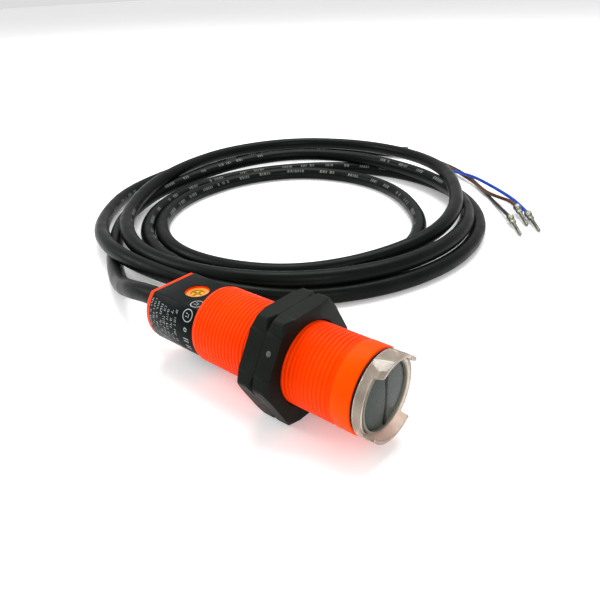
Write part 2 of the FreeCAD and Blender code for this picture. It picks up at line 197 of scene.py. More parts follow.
def plastic(name, dark, light, roughness, grain, bump, coat=0.0, specular=0.5, tint=(1, 1, 1)):
    """Moulded plastic: slow colour drift, uneven gloss and a fine grain."""
    material, nodes, links, shader = new_material(name)
    drift = noise(nodes, links, DRIFT_SCALE, 3)
    links.new(ramp(nodes, links, drift, dark, light), shader.inputs["Base Color"])
    smudge = noise(nodes, links, SMUDGE_SCALE, 5)
    links.new(spread(nodes, links, smudge, *roughness), shader.inputs["Roughness"])
    add_bump(nodes, links, shader, noise(nodes, links, grain, 3), bump, GRAIN_DEPTH)
    shader.inputs["Coat Weight"].default_value = coat
    shader.inputs["Coat Roughness"].default_value = 0.25
    shader.inputs["Specular IOR Level"].default_value = specular
    shader.inputs["Specular Tint"].default_value = (*tint, 1)
    return material


def orange_plastic(name, dark, light):
    """The housing's plastic, whose gloss keeps its own colour."""
    return plastic(name, dark, light, roughness=(0.36, 0.50), grain=2600, bump=0.12,
                   specular=0.10, tint=(1.0, 0.30, 0.02))


def clear_plastic(name, tint, edge):
    """Clear acrylic that shows its thickness as a warm haze."""
    material, nodes, links, shader = new_material(name)
    shader.inputs["Transmission Weight"].default_value = 0.80
    shader.inputs["IOR"].default_value = 1.49
    haze = noise(nodes, links, 350, 4)
    links.new(ramp(nodes, links, haze, edge, tint, high=0.75), shader.inputs["Base Color"])
    scuff = noise(nodes, links, 900, 6)
    links.new(spread(nodes, links, scuff, 0.04, 0.16), shader.inputs["Roughness"])
    add_bump(nodes, links, shader, noise(nodes, links, 700, 3), 0.12, RELIEF_DEPTH)
    return material


def lens_material():
    """Tinted acrylic with a dark, slightly green interior and faint moulding waves."""
    material, nodes, links, shader = new_material("tinted_lens")
    cloud = noise(nodes, links, 160, 3)
    links.new(ramp(nodes, links, cloud, (0.026, 0.034, 0.030), (0.034, 0.044, 0.039)),
              shader.inputs["Base Color"])
    links.new(spread(nodes, links, noise(nodes, links, 500, 4), 0.24, 0.36), shader.inputs["Roughness"])
    shader.inputs["Specular IOR Level"].default_value = 0.12
    add_bump(nodes, links, shader, noise(nodes, links, 260, 2), 0.06, RELIEF_DEPTH)
    return material


def metal(name, dark, light):
    """Tinned sheet metal with fine drawn marks and small dull patches."""
    material, nodes, links, shader = new_material(name)
    shader.inputs["Metallic"].default_value = 1.0
    patches = noise(nodes, links, 700, 5)
    links.new(ramp(nodes, links, patches, dark, light, high=0.65), shader.inputs["Base Color"])
    links.new(spread(nodes, links, noise(nodes, links, 1500, 4), 0.22, 0.42), shader.inputs["Roughness"])
    add_bump(nodes, links, shader, noise(nodes, links, 1800, 3), 0.3, RELIEF_DEPTH)
    return material


def board_material():
    """Green laminate with copper tracks under the lacquer."""
    material, nodes, links, shader = new_material("circuit_board")
    where = nodes.new("ShaderNodeTexCoord")
    bricks = nodes.new("ShaderNodeTexBrick")
    bricks.inputs["Scale"].default_value = 420
    bricks.inputs["Mortar Size"].default_value = 0.03
    bricks.inputs["Color1"].default_value = (0.010, 0.10, 0.035, 1)
    bricks.inputs["Color2"].default_value = (0.014, 0.13, 0.045, 1)
    bricks.inputs["Mortar"].default_value = (0.10, 0.28, 0.08, 1)
    links.new(where.outputs["Object"], bricks.inputs["Vector"])
    links.new(bricks.outputs["Color"], shader.inputs["Base Color"])
    links.new(spread(nodes, links, noise(nodes, links, 400), 0.25, 0.4), shader.inputs["Roughness"])
    return material


ORANGE = orange_plastic("orange_polyester", (0.84, 0.035, 0.0004), (0.93, 0.048, 0.0007))
# A lighter, yellower copy of the housing orange, used on the collar only: painted light, standing in for the
# collar catching more light than the thread.
COLLAR_PAINTED_LIGHT_ORANGE = orange_plastic("orange_painted_lighter", (0.92, 0.053, 0.0005), (1.00, 0.069, 0.0008))
NUT = plastic("nut_plastic", (0.0030, 0.0038, 0.0030), (0.0065, 0.0082, 0.0064),
              roughness=(0.42, 0.56), grain=1800, bump=0.25, specular=0.09, tint=(0.86, 1.0, 0.86))
SHEATH = plastic("pvc_sheath", (0.0018, 0.0024, 0.0020), (0.0040, 0.0050, 0.0042),
                 roughness=(0.30, 0.44), grain=1500, bump=0.25, specular=0.08, tint=(0.86, 1.0, 0.90))
LABEL = plastic("label_film", (0.0020, 0.0028, 0.0030), (0.0042, 0.0055, 0.0056),
                roughness=(0.30, 0.42), grain=3000, bump=0.06, specular=0.06, tint=(0.86, 1.0, 0.95))
PRINT = plastic("white_print", (0.22, 0.25, 0.25), (0.42, 0.46, 0.46),
                roughness=(0.45, 0.6), grain=3000, bump=0.05)
GREY_PRINT = plastic("grey_print", (0.05, 0.056, 0.05), (0.11, 0.12, 0.11),
                     roughness=(0.5, 0.6), grain=3000, bump=0.05)
RUBBER = plastic("rubber", (0.003, 0.003, 0.003), (0.006, 0.006, 0.006),
                 roughness=(0.6, 0.75), grain=1500, bump=0.3, specular=0.15)
BLACK = plastic("black_moulding", (0.004, 0.004, 0.004), (0.008, 0.008, 0.008),
                roughness=(0.5, 0.65), grain=2000, bump=0.2, specular=0.15)
CLEAR = clear_plastic("clear_ring", (0.80, 0.71, 0.61), (0.60, 0.50, 0.40))
LENS = lens_material()
AMBER = plastic("amber_guide", (0.60, 0.20, 0.01), (0.72, 0.27, 0.015),
                roughness=(0.12, 0.25), grain=1800, bump=0.08, coat=0.3)
YELLOW = plastic("adjuster_yellow", (0.50, 0.27, 0.02), (0.62, 0.34, 0.03),
                 roughness=(0.25, 0.35), grain=2000, bump=0.1)
TINNED = metal("tinned_metal", (0.10, 0.105, 0.080), (0.24, 0.25, 0.20))
BOARD = board_material()
BEZEL = plastic("bezel_grey", (0.13, 0.125, 0.095), (0.20, 0.19, 0.15),
                roughness=(0.35, 0.5), grain=1800, bump=0.1)
# A lighter plastic for the pip on the front nut: a painted highlight on the near-black nut.
PIP = plastic("nut_pip_highlight", (0.040, 0.042, 0.034), (0.070, 0.074, 0.060),
              roughness=(0.5, 0.6), grain=1800, bump=0.15)
CHIP = plastic("chip_epoxy", (0.010, 0.010, 0.011), (0.020, 0.020, 0.021),
               roughness=(0.45, 0.6), grain=2500, bump=0.2)
WIRE_COLOURS = {
    "brown": ((0.060, 0.018, 0.006), (0.090, 0.028, 0.010)),
    "blue": ((0.003, 0.035, 0.30), (0.005, 0.050, 0.42)),
    "black": ((0.004, 0.004, 0.005), (0.008, 0.008, 0.009)),
}
WIRE = {colour: plastic(f"{colour}_pvc", dark, light, roughness=(0.35, 0.5), grain=2500, bump=0.15,
                        specular=0.2)
        for colour, (dark, light) in WIRE_COLOURS.items()}


# --------------------------------------------------------- camera, floor, light

CAMERA_PLACE = Vector((75.6, -77.4, 80.4)) * MM
CAMERA_AZIMUTH = math.radians(40.76)
CAMERA_ELEVATION = math.radians(28.18)
CAMERA_ROLL = math.radians(-2.09)
CAMERA_LENS = 36.0     # millimetres, on a sensor of the width below
SENSOR_WIDTH = 36.0
FLOOR_REACH = 3.0      # metres from the middle to each edge

# Each lamp's place, width and height in metres, and its power in watts.
LAMPS = {
    "top": ((-0.20, 0.35, 0.85), 0.7, 0.5, 8),
    "side": ((-0.7, -0.35, 0.5), 0.4, 0.4, 3),
    "front": ((0.7, -0.5, 0.45), 0.4, 0.4, 3),
}
LAMP_TARGET = (-0.03, 0.06, 0.0)


def make_camera():
    back = Vector((math.sin(CAMERA_AZIMUTH) * math.cos(CAMERA_ELEVATION),
                   -math.cos(CAMERA_AZIMUTH) * math.cos(CAMERA_ELEVATION), math.sin(CAMERA_ELEVATION)))
    right = Vector((math.cos(CAMERA_AZIMUTH), math.sin(CAMERA_AZIMUTH), 0))
    up = back.cross(right)
    turn = Matrix((right, up, back)).transposed().to_4x4()
    data = bpy.data.cameras.new("camera")
    data.sensor_width = SENSOR_WIDTH
    data.lens = CAMERA_LENS
    data.clip_start = 0.005
    data.clip_end = 10.0
    camera = bpy.data.objects.new("camera", data)
    camera.matrix_world = Matrix.Translation(CAMERA_PLACE) @ turn @ Matrix.Rotation(CAMERA_ROLL, 4, "Z")
    bpy.context.scene.collection.objects.link(camera)
    bpy.context.scene.camera = camera


def make_floor():
    reach = FLOOR_REACH
    mesh = bpy.data.meshes.new("floor")
    mesh.from_pydata([(-reach, -reach, 0), (reach, -reach, 0), (reach, reach, 0), (-reach, reach, 0)],
                     [], [(0, 1, 2, 3)])
    material, nodes, links, shader = new_material("pale_floor")
    tone = noise(nodes, links, 4, 3)
    links.new(ramp(nodes, links, tone, (0.88, 0.88, 0.88), (0.91, 0.91, 0.91)), shader.inputs["Base Color"])
    shader.inputs["Roughness"].default_value = 0.9
    shader.inputs["Specular IOR Level"].default_value = 0.1
    shader.inputs["Emission Color"].default_value = (1, 1, 1, 1)
    shader.inputs["Emission Strength"].default_value = 0.15
    mesh.materials.append(material)
    floor = bpy.data.objects.new("floor", mesh)
    bpy.context.scene.collection.objects.link(floor)


def make_light(name, place, width, height, power):
    """A flat lamp that faces the object."""
    data = bpy.data.lights.new(name, "AREA")
    data.shape = "RECTANGLE"
    data.size = width
    data.size_y = height
    data.energy = power
    light = bpy.data.objects.new(name, data)
    light.location = place
    light.rotation_mode = "QUATERNION"
    light.rotation_quaternion = (Vector(LAMP_TARGET) - Vector(place)).to_track_quat("-Z", "Y")
    bpy.context.scene.collection.objects.link(light)


def make_studio():
    """An even white surround and three large lamps."""
    world = bpy.data.worlds.new("studio")
    bpy.context.scene.world = world
    world.use_nodes = True
    background = world.node_tree.nodes["Background"]
    background.inputs["Color"].default_value = (1, 1, 1, 1)
    background.inputs["Strength"].default_value = 0.72
    for name, (place, width, height, power) in LAMPS.items():
        make_light(name, place, width, height, power)
    bpy.context.scene.view_settings.view_transform = "Standard"


make_camera()
make_floor()
make_studio()


# ----------------------------------------------------------- cable and its wires

# All sizes and places from here on are in millimetres.
CABLE_DIAMETER = 5.0
WIRE_DIAMETER = 1.3
CLEAR_OF_FLOOR = 0.05
REST = CABLE_DIAMETER / 2 + CLEAR_OF_FLOOR        # the height of a centreline that lies on the floor
WIRE_REST = WIRE_DIAMETER / 2 + CLEAR_OF_FLOOR
AXIS_Z = corners("front_nut")[1].z / 2            # the barrel's axis, half a nut above the floor

LEAD_ROUTE = [
    (-27.3, 0.0, AXIS_Z), (-40.0, 0.0, AXIS_Z - 0.3), (-52.5, 1.4, 9.0), (-64.5, 6.4, 4.6),
    (-77.5, 13.4, REST), (-90.5, 22.0, REST), (-104.0, 33.0, REST + 0.3),
]
TAIL_ROUTE = [
    (-148.6, 98.0, REST), (-145.6, 118.0, REST), (-136.4, 141.0, REST), (-121.0, 159.0, REST),
    (-102.5, 172.5, REST), (-86.8, 179.9, REST), (-75.0, 182.3, REST + 0.5),
]
WIRE_ROUTES = {
    "brown": [(-74.95, 182.3, 3.85), (-65.0, 181.6, 3.4), (-54.0, 177.5, 2.4), (-40.6, 169.6, 1.4),
              (-26.4, 157.6, 1.7), (-18.3, 148.9, 2.1), (-11.8, 144.6, 2.5), (-5.1, 141.9, 2.8),
              (-0.9, 136.7, 2.9)],
    "blue": [(-74.65, 181.2, 2.65), (-66.5, 180.9, 1.8), (-58.4, 178.3, 1.0), (-48.1, 172.8, WIRE_REST),
             (-38.5, 165.8, 2.6), (-30.3, 161.0, 3.6), (-22.9, 156.4, 3.6), (-13.4, 151.1, 2.8),
             (-3.2, 143.5, 2.3), (4.4, 134.1, 2.2)],
    "black": [(-75.15, 183.4, 2.65), (-65.3, 182.9, 2.0), (-55.1, 181.0, 1.2), (-44.0, 175.5, WIRE_REST),
              (-32.7, 166.3, WIRE_REST), (-22.2, 154.8, WIRE_REST), (-12.0, 142.8, WIRE_REST),
              (0.6, 127.1, 2.2)],
}

# The loose turns, wound clockwise from above about one centre. Each turn has its radius and height at
# eight stations an eighth of a turn apart, and the last one stops where the tail leaves it.
COIL_CENTRE = Vector((-67.2, 87.4))
COIL_START = CAMERA_AZIMUTH + math.pi
STATIONS = 8              # to a turn
POINTS_PER_STATION = 2
TURNS = [
    [(64.5, 2.9), (60.5, 5.2), (65.5, 7.2), (62.0, 6.5), (63.0, 5.6), (67.0, 6.3), (70.5, 6.9), (67.5, 7.2)],
    [(61.0, 7.3), (66.0, 9.0), (85.0, 8.0), (75.5, 8.4), (60.4, 9.7), (61.0, 7.7), (55.8, 2.6), (53.8, 2.6)],
    [(49.6, 2.6), (48.0, 2.6), (50.5, 2.6), (46.8, 2.6), (44.5, 2.6), (53.8, 2.6), (65.6, 2.6), (59.6, 2.6)],
    [(54.8, 2.6), (53.7, 2.6), (57.0, 2.6), (65.0, 2.6), (67.3, 2.6), (70.8, 2.6), (73.0, 2.8), (73.4, 7.4)],
    [(72.0, 3.6), (81.5, 2.6)],
]


def between(values, k, t):
    """A smooth value between stations k and k + 1."""
    a, b, c, d = (values[min(max(k + n, 0), len(values) - 1)] for n in (-1, 0, 1, 2))
    return b + 0.5 * t * (c - a + t * (2 * a - 5 * b + 4 * c - d + t * (3 * (b - c) + d - a)))


def coil_points():
    """The coil's points: the stations of every turn, with smooth points between them."""
    stations = [station for turn in TURNS for station in turn]
    radii = [radius for radius, _ in stations]
    heights = [height for _, height in stations]
    points = []
    for k in range(len(stations) - 1):
        for step in range(POINTS_PER_STATION):
            t = step / POINTS_PER_STATION
            angle = COIL_START - (k + t) * math.tau / STATIONS
            radius = between(radii, k, t)
            points.append((COIL_CENTRE.x + radius * math.cos(angle), COIL_CENTRE.y + radius * math.sin(angle),
                           max(between(heights, k, t), REST)))
    return points


def spline(name, points, diameter, material):
    """A round cord on one smooth curve."""
    curve = bpy.data.curves.new(name, "CURVE")
    curve.dimensions = "3D"
    line = curve.splines.new("NURBS")
    line.points.add(len(points) - 1)
    for slot, point in zip(line.points, points):
        slot.co = (*(Vector(point) * MM), 1.0)
    line.order_u = 3
    line.use_endpoint_u = True
    line.resolution_u = 12
    curve.bevel_depth = diameter / 2 * MM
    curve.bevel_resolution = 8
    curve.use_fill_caps = True
    curve.materials.append(material)
    piece = bpy.data.objects.new(name, curve)
    bpy.context.scene.collection.objects.link(piece)
    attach(piece, SENSOR)
    return piece


def centreline(piece):
    """Points along a curve object's own line, in millimetres."""
    bare = piece.copy()
    bare.data = piece.data.copy()
    bare.data.bevel_depth = 0.0
    bpy.context.scene.collection.objects.link(bare)
    bpy.context.view_layer.update()
    mesh = bpy.data.meshes.new_from_object(bare.evaluated_get(bpy.context.evaluated_depsgraph_get()))
    points = [v.co / MM for v in mesh.vertices]
    bpy.data.objects.remove(bare)
    bpy.data.meshes.remove(mesh)
    return points



cable = spline("cable", LEAD_ROUTE + coil_points() + TAIL_ROUTE, CABLE_DIAMETER, SHEATH)
cable_line = centreline(cable)
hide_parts("cable_lead", "cable_coil", "cable_tail")

for colour, route in WIRE_ROUTES.items():
    spline(f"{colour}_lead", route, WIRE_DIAMETER, WIRE[colour])
    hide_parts(f"{colour}_wire")


# ------------------------------------------------------------------- the barrel

# Places along the barrel.
REAR_END = corners("housing")[0].x
THREAD_START = corners("label")[1].x
COLLAR_END = corners("housing")[1].x
COLLAR_LENGTH = 4.25
THREAD_END = COLLAR_END - COLLAR_LENGTH
ADJUSTER_X = sum(corners("adjuster_screw"), Vector()).x / 2

# Radii, and the height of the rear flat above the axis.
FILM = 0.15               # the label's thickness as drawn
REAR_RADIUS = 8.45
FLAT = 6.0
COLLAR_RADIUS = 9.0
CAVITY_RADIUS = 7.4
SKIRT_SEAT_RADIUS = 8.1   # the front recess that takes the clear ring's skirt
SKIRT_SEAT_DEPTH = 2.0
REAR_WALL = 1.0
RECESS_RADIUS = 2.75      # the hole over the adjuster

# The thread's ridges.
CREST = 8.96
ROOT = 8.72
PITCH = 1.0
FADE = 0.8                # the length over which the ridges die out
SAMPLES_PER_PITCH = 8
FACETS = 144


def d_shape(radius, flat, angle):
    """The radius of a round section with a flat along its top."""
    return min(radius, flat / math.sin(angle)) if math.sin(angle) > 0 else radius


def skin(name, rows, material):
    """A mesh through rings along the barrel. Each row is an x and a radius, or one radius per angle."""
    points = []
    for x, radius in rows:
        for k in range(FACETS):
            angle = math.tau * k / FACETS
            points.append(on_barrel(x, radius(angle) if callable(radius) else radius, angle))
    return sharpen(add_mesh(name, points, grid_faces(len(rows), FACETS, True, True), material))


def thread_radius(x, angle):
    """The ridge height of a single-start thread, fading out at both ends."""
    phase = (x / PITCH - angle / math.tau) % 1.0
    ridge = ease(1.9 - 3.8 * abs(phase - 0.5))
    fade = ease((x - THREAD_START - 0.2) / FADE) * ease((THREAD_END - 0.2 - x) / FADE)
    return ROOT + (CREST - ROOT) * ridge * fade


def make_barrel():
    """The threaded part and the smooth collar in front of it."""
    rows = [(THREAD_START, CAVITY_RADIUS), (THREAD_START, ROOT - 0.1)]
    length = THREAD_END - THREAD_START
    count = round(length / PITCH * SAMPLES_PER_PITCH)
    for k in range(1, count):
        x = THREAD_START + length * k / count
        rows.append((x, lambda angle, x=x: thread_radius(x, angle)))
    rows += [(THREAD_END, ROOT), (THREAD_END + 0.05, COLLAR_RADIUS - 0.2), (THREAD_END + 0.25, COLLAR_RADIUS),
             (COLLAR_END - 0.3, COLLAR_RADIUS), (COLLAR_END - 0.1, COLLAR_RADIUS - 0.08),
             (COLLAR_END, COLLAR_RADIUS - 0.3), (COLLAR_END, SKIRT_SEAT_RADIUS),
             (COLLAR_END - SKIRT_SEAT_DEPTH, SKIRT_SEAT_RADIUS),
             (COLLAR_END - SKIRT_SEAT_DEPTH, CAVITY_RADIUS)]
    piece = skin("threaded_barrel", rows, ORANGE)
    # The collar in front of the thread gets the lighter copy of the orange: painted light.
    piece.data.materials.append(COLLAR_PAINTED_LIGHT_ORANGE)
    for face in piece.data.polygons:
        face.material_index = int(face.center.x > (THREAD_END + 0.1) * MM)
    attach(piece, SENSOR)
    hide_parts("housing")


def carve(piece, radius):
    """Cut an upright round hole over the adjuster."""
    count = 64
    points = []
    for level in (AXIS_Z + FLAT / 2, AXIS_Z + FLAT + 2):
        for k in range(count):
            angle = math.tau * k / count
            points.append((ADJUSTER_X + radius * math.cos(angle), radius * math.sin(angle), level))
    faces = grid_faces(2, count, False, True)
    faces += [tuple(range(count)), tuple(range(2 * count - 1, count - 1, -1))]
    cutter = add_mesh("cutter", points, faces, piece.data.materials[0], smooth=False)
    modifier = piece.modifiers.new("hole", "BOOLEAN")
    modifier.operation = "DIFFERENCE"
    modifier.solver = "EXACT"
    modifier.object = cutter
    bpy.context.view_layer.update()
    cut = bpy.data.meshes.new_from_object(piece.evaluated_get(bpy.context.evaluated_depsgraph_get()))
    piece.modifiers.clear()
    piece.data = cut
    bpy.data.objects.remove(cutter)
    return sharpen(piece)


def make_rear_shell():
    """The D-shaped rear section, open at its end for the cap."""
    def outside(inset):
        return lambda angle: d_shape(REAR_RADIUS - inset, FLAT - inset, angle)

    inside = outside(REAR_WALL)
    middle = THREAD_START - 8
    rows = [(REAR_END, inside), (REAR_END, outside(0.35)), (REAR_END + 0.1, outside(0.1)),
            (REAR_END + 0.35, outside(0)), (middle, outside(0)), (THREAD_START, outside(0)),
            (THREAD_START, inside), (middle, inside)]
    piece = carve(skin("rear_shell", rows, ORANGE), RECESS_RADIUS)
    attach(piece, SENSOR)
    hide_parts("housing")


def make_label():
    """The film round the rear section, with softened ends."""
    def film(height):
        return lambda angle: d_shape(REAR_RADIUS + height, FLAT + height, angle)

    start = REAR_END + 1.3
    end = THREAD_START - 0.02
    middle = 0.5 * (start + end)
    rows = [(start, film(0.01)), (start + 0.02, film(0.11)), (start + 0.12, film(FILM)), (middle, film(FILM)),
            (end - 0.1, film(FILM)), (end, film(0.1)), (end, film(0.01)), (middle, film(0.01))]
    piece = carve(skin("label_sleeve", rows, LABEL), RECESS_RADIUS + 0.1)
    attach(piece, SENSOR)
    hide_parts("label")


PRINT_HEIGHT = 0.015

# Rows of print: place along the barrel, size, and where round the film each starts and ends.
PRINT_ROWS = [
    (-29.3, 0.45, 5.6, -16.0), (-28.2, 0.5, 5.6, -15.0), (-27.1, 0.5, 5.4, -16.0), (-25.8, 0.65, 5.0, -9.0),
    (-24.6, 0.65, 5.0, -12.0), (-23.4, 0.6, 4.6, -14.0), (-22.1, 0.7, 4.8, -9.0), (-20.8, 0.6, 5.2, -8.0),
]
MARKS_X = -17.3                                  # the column of rings and bars beside the thread
LARGE_RINGS = (8.6, 4.9)                         # their places round the film
SMALL_RING = 1.6
BARS = (-0.8, -1.5, -2.9, -3.6)


class Decals:
    """Thin printed marks laid on the label film, collected into one mesh."""

    def __init__(self):
        self.points, self.faces = [], []

    def place(self, x, along):
        """A point on the film: along is the distance round from the camera side's level line."""
        radius = REAR_RADIUS + FILM + PRINT_HEIGHT
        flat = FLAT + FILM + PRINT_HEIGHT
        edge = math.asin(flat / radius)
        if along < edge * radius:
            return on_barrel(x, radius, math.pi - along / radius)
        return Vector((x, along - edge * radius - radius * math.cos(edge), AXIS_Z + flat))

    def strip(self, inner, outer):
        """A band between two rows of (x, along) places."""
        base = len(self.points)
        self.points += [self.place(*p) for p in inner] + [self.place(*p) for p in outer]
        count = len(inner)
        self.faces += [(base + k, base + k + 1, base + count + k + 1, base + count + k) for k in range(count - 1)]

    def bar(self, x, along, width, length):
        steps = max(2, int(length / 0.3))
        places = [along + length * k / steps for k in range(steps + 1)]
        self.strip([(x - width / 2, a) for a in places], [(x + width / 2, a) for a in places])

    def ring(self, x, along, radius, thickness):
        turn = [math.tau * k / 32 for k in range(33)]
        self.strip([(x + (radius - thickness) * math.cos(t), along + (radius - thickness) * math.sin(t))
                    for t in turn], [(x + radius * math.cos(t), along + radius * math.sin(t)) for t in turn])

    def make(self, name, material):
        piece = add_mesh(name, self.points, self.faces, material)
        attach(piece, SENSOR)


def print_group(marks, chance, x, size, along):
    """A few small random strokes in a row. Returns where they end."""
    for _ in range(chance.randint(2, 5)):
        shape = chance.random()
        if shape < 0.5:
            marks.bar(x, along - 0.12, size, 0.12)
        if shape > 0.3:
            marks.bar(x + 0.34 * size, along - 0.38, 0.13, 0.3)
        if shape > 0.65 or shape < 0.15:
            marks.bar(x - 0.34 * size, along - 0.36, 0.13, 0.26)
        along -= 0.55
    return along


def make_print():
    """Generic marks: broken rows of short strokes, and plain rings and bars near the thread."""
    chance = random.Random(7)
    marks = Decals()
    for x, size, along, stop in PRINT_ROWS:
        while along > stop:
            along = print_group(marks, chance, x, size, along)
            along -= 0.5 + 0.5 * chance.random()
    for along in LARGE_RINGS:
        marks.ring(MARKS_X, along, 1.5, 0.2)
        marks.bar(MARKS_X + 0.3, along - 0.5, 0.16, 0.9)
        marks.bar(MARKS_X - 0.35, along - 0.4, 0.5, 0.18)
        marks.bar(MARKS_X - 0.35, along + 0.3, 0.5, 0.18)
    marks.ring(MARKS_X, SMALL_RING, 0.5, 0.2)
    for along in BARS:
        marks.bar(MARKS_X, along, 1.7, 0.22)
    marks.make("label_marks", PRINT)


make_barrel()
make_rear_shell()
make_label()
make_print()


# -------------------------------------------------------------------- lock nuts

NUT_CORNER = 0.7                        # the radius that softens a corner
NUT_BORE = 8.86
NUT_EDGE = 0.12
SHOULDER = 12.7                         # where the chamfer on a nut's faces starts
CHAMFER = 0.577                         # how far it falls back over its reach, for 30 degrees


def hexagon(angle):
    """The radius of a nut's outline, with flats above and below and softened corners."""
    half_side = math.pi / 6
    turn = (angle + half_side) % (2 * half_side) - half_side
    reach = (AXIS_Z - NUT_CORNER) / math.cos(half_side)
    meets = math.atan2(NUT_CORNER * math.sin(half_side), reach + NUT_CORNER * math.cos(half_side))
    if abs(turn) > meets:
        return AXIS_Z / math.cos(half_side - abs(turn))
    return reach * math.cos(turn) + math.sqrt(NUT_CORNER ** 2 - (reach * math.sin(turn)) ** 2)


def make_nut(name, body):
    low, high = corners(name)
    back = low.x
    front = high.x

    def profile(angle):
        radius = hexagon(angle)
        shoulder = min(radius, SHOULDER)
        cone = CHAMFER * (radius - shoulder) + NUT_EDGE
        return [(back, NUT_BORE + 0.5), (back, shoulder - NUT_EDGE), (back + 0.3 * NUT_EDGE, shoulder),
                (back + cone, radius), (front - cone, radius), (front - 0.3 * NUT_EDGE, shoulder),
                (front, shoulder - NUT_EDGE), (front, NUT_BORE + 0.5), (front - 0.5, NUT_BORE),
                (back + 0.5, NUT_BORE)]

    piece = lathe(f"{name}_detail", profile, NUT, segments=288)
    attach(piece, body)
    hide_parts(name)


def make_pip():
    """The small raised pip on one flat of the front nut, in a lighter plastic: a painted highlight."""
    low, high = corners("front_nut")
    facing = math.radians(150)
    outward = Vector((0, math.cos(facing), math.sin(facing)))
    across = Vector((0, -math.sin(facing), math.cos(facing)))
    middle = Vector((0.5 * (low.x + high.x), 0, AXIS_Z)) + outward * (AXIS_Z - 0.02) - across * 0.7
    profile = [(0.0, 0.12), (0.35, 0.12), (0.5, 0.1), (0.58, 0.04), (0.6, 0.0), (0.0, 0.0)]
    count = 32
    points = []
    for radius, height in profile:
        for k in range(count):
            angle = math.tau * k / count
            points.append(middle + Vector((radius * math.cos(angle), 0, 0))
                          + across * radius * math.sin(angle) + outward * height)
    faces = grid_faces(len(profile), count, False, True)
    piece = sharpen(add_mesh("front_nut_pip", points, faces, PIP))
    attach(piece, FRONT_NUT)


make_pip()
make_nut("front_nut", FRONT_NUT)
make_nut("rear_nut", REAR_NUT)


# ----------------------------------------------------------------- front optics

RING_FRONT = 29.25                      # the clear ring's front edge, between its tabs
TAB_FRONT = corners("front_ring")[1].x - 0.05
TAB_HALF_WIDTH = math.radians(48)
TABS = ((80, 7.0), (260, 1.5))          # each tab's middle and the width of its slopes, in degrees

def smooth_edge(x0, x1, inner, outer, bevel):
    """A rounded rectangle of (x, radius) places."""
    return rounded([(x0, inner), (x1, inner), (x1, outer), (x0, outer)], bevel)


def tab_height(angle):
    """How far the clear ring reaches forward at an angle: two wide tabs, one sloped and one stepped."""
    height = 0.0
    for middle, slope in TABS:
        away = abs((angle - math.radians(middle) + math.pi) % math.tau - math.pi)
        height = max(height, ease((TAB_HALF_WIDTH - away) / math.radians(slope)))
    return RING_FRONT + (TAB_FRONT - RING_FRONT) * height


def make_front():
    """The clear ring and its skirt, the lens rim and the two half lenses."""
    back = corners("front_seal")[1].x + 0.02
    ring = lathe("clear_ring", lambda a: smooth_edge(back, tab_height(a), 8.1, 8.8, 0.16), CLEAR, 288)
    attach(ring, SENSOR)
    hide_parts("front_ring")
    skirt = lathe("ring_skirt", lambda a: smooth_edge(24.86, 27.74, 7.62, 8.07, 0.08), CLEAR)
    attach(skirt, SENSOR)
    low, high = corners("lens_bezel")
    bezel = lathe("bezel_ring", lambda a: smooth_edge(low.x, high.x, 7.12, 7.58, 0.14), BEZEL)
    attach(bezel, SENSOR)
    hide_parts("lens_bezel")
    for name, side in (("emitter_lens", -1), ("receiver_lens", 1)):
        lens = half_lens(f"{name}_detail", side)
        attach(lens, SENSOR)
        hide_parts(name)


def half_lens(name, side):
    """Half a lens: a gently domed front with a softened rim, and a plain back."""
    rings = 14
    arcs = 48
    radius = 7.08
    gap = 0.07
    back = 28.2
    front = 28.7
    dome = 0.35
    points = []
    for domed in (False, True):
        for i in range(rings + 1):
            share = i / rings
            for j in range(arcs + 1):
                angle = math.pi * (j / arcs - 0.5)
                y = gap + (radius - gap) * share * max(math.cos(angle), 0.0)
                z = radius * share * math.sin(angle)
                reach = math.hypot(y, z) / radius
                rim = 0.18 * max(reach - 0.95, 0.0) / 0.05
                divider = 0.06 * max(0.25 - y, 0.0) / 0.18
                x = front + dome * (1 - reach ** 2) - rim - divider if domed else back
                points.append((x, side * y, AXIS_Z + z))
    layer = (rings + 1) * (arcs + 1)
    faces = grid_faces(rings + 1, arcs + 1, False, False)
    faces += [tuple(k + layer for k in face) for face in faces]
    down = [i * (arcs + 1) for i in range(rings + 1)]
    round_rim = [rings * (arcs + 1) + j for j in range(1, arcs + 1)]
    up = [i * (arcs + 1) + arcs for i in range(rings - 1, -1, -1)]
    loop = down + round_rim + up
    for a, b in zip(loop, loop[1:]):
        faces.append((a, b, b + layer, a + layer))
    return sharpen(add_mesh(name, points, faces, LENS), 30)


make_front()


# -------------------------------------------------- adjuster, gland and ferrules

def make_adjuster():
    """The adjuster's screw: a rounded head with a cross slot, turning with its joint."""
    radius = 1.58
    slot_half_width = 0.26
    slot_reach = 1.2
    slot_depth = 0.55
    low, high = corners("adjuster_screw")
    top = high.z
    profile = [(0.0, top), (0.25, top), (0.6, top), (0.95, top), (1.2, top), (1.45, top - 0.04),
               (radius, top - 0.16), (radius, top - 0.8), (radius, low.z), (0.0, low.z)]
    count = 96
    points = []
    for reach, level in profile:
        for k in range(count):
            angle = math.tau * k / count
            x = reach * math.cos(angle)
            y = reach * math.sin(angle)
            narrow, wide = sorted((abs(x), abs(y)))
            in_slot = narrow < slot_half_width and wide < slot_reach and level > top - 0.1
            points.append((ADJUSTER_X + x, y, level - slot_depth * in_slot))
    faces = grid_faces(len(profile), count, False, True)
    piece = sharpen(add_mesh("adjuster_head", points, faces, YELLOW), 40)
    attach(piece, ADJUSTER)
    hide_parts("adjuster_screw")


